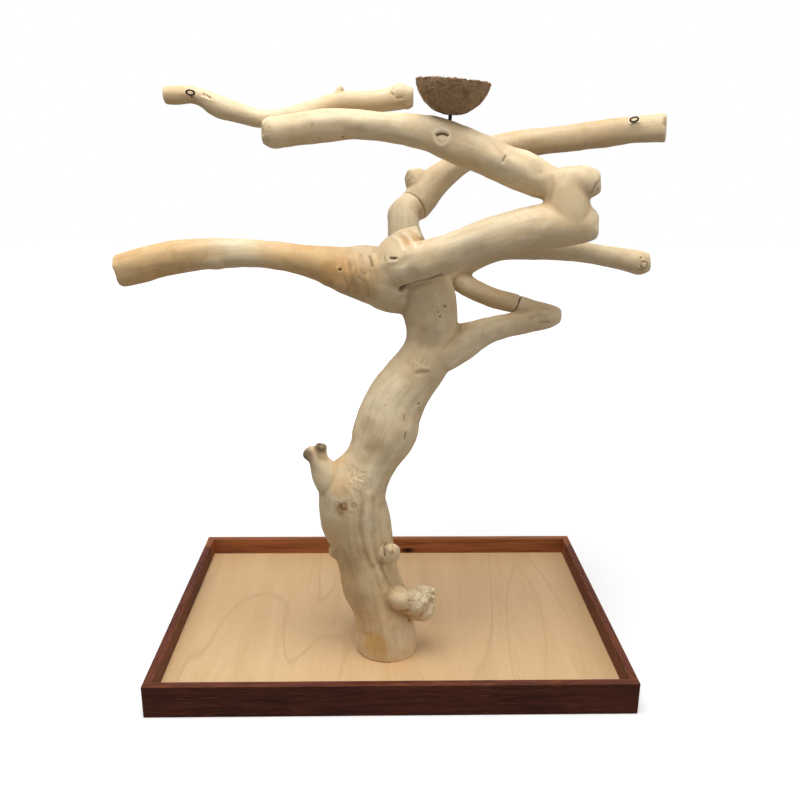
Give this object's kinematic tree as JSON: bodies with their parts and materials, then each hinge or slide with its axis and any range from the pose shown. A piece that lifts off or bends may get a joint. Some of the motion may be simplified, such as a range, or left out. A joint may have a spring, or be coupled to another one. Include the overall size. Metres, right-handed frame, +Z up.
{
  "type": "parrot play stand",
  "caption": "Free-standing perch tree for parrots: joined bare hardwood limbs on a plywood tray with stained rails, a coconut food cup on a steel stem, and screw eyes for toys.",
  "frame": {"origin": "centre of the whole stand's footprint on the floor, which is also the centre of the tray", "axes": "+Z up, +X to the right and -Y towards the viewer of the stand's front, the tray's long side along X"},
  "size_m": [0.8675, 0.508, 0.9353],
  "materials": {
    "plywood": "satin lacquered plywood",
    "stained_rail": "dark mahogany stain, satin",
    "bare_wood": "peeled, sanded hardwood, matt",
    "steel": "zinc plated",
    "dark_steel": "dark, slightly worn",
    "coconut_shell": "rough fibrous shell, matt"
  },
  "bodies": {
    "stand": {"tray_panel": "plywood", "tray_rail_front": "stained_rail", "tray_rail_back": "stained_rail", "tray_rail_left": "stained_rail", "tray_rail_right": "stained_rail", "corner_brads": "steel", "panel_brads": "steel", "base_screws": "steel", "trunk": "bare_wood", "left_limb": "bare_wood", "main_limb": "bare_wood", "top_arm": "bare_wood", "back_branch": "bare_wood", "rear_arm": "bare_wood", "rear_fork": "bare_wood", "joint_dowels": "steel", "joint_screws": "steel", "cup_stem": "dark_steel"},
    "cup": {"coconut_cup": "coconut_shell", "cup_flange_nut": "steel"},
    "left_eye": {"eye_left": "dark_steel"},
    "right_eye": {"eye_right": "dark_steel"}
  },
  "joints": [
    {"name": "cup_turn", "type": "hinge", "parent": "stand", "child": "cup", "pos_m": [0.0827, -0.058, 0.88558], "axis": [0.0698, 0, 0.9976], "continuous": true},
    {"name": "left_eye_turn", "type": "hinge", "parent": "stand", "child": "left_eye", "pos_m": [-0.308, 0.0148, 0.9122], "axis": [0, -0.867, 0.4983], "continuous": true},
    {"name": "right_eye_turn", "type": "hinge", "parent": "stand", "child": "right_eye", "pos_m": [0.37588, 0.01095, 0.88001], "axis": [-0.3512, -0.8029, 0.4817], "continuous": true}
  ]
}
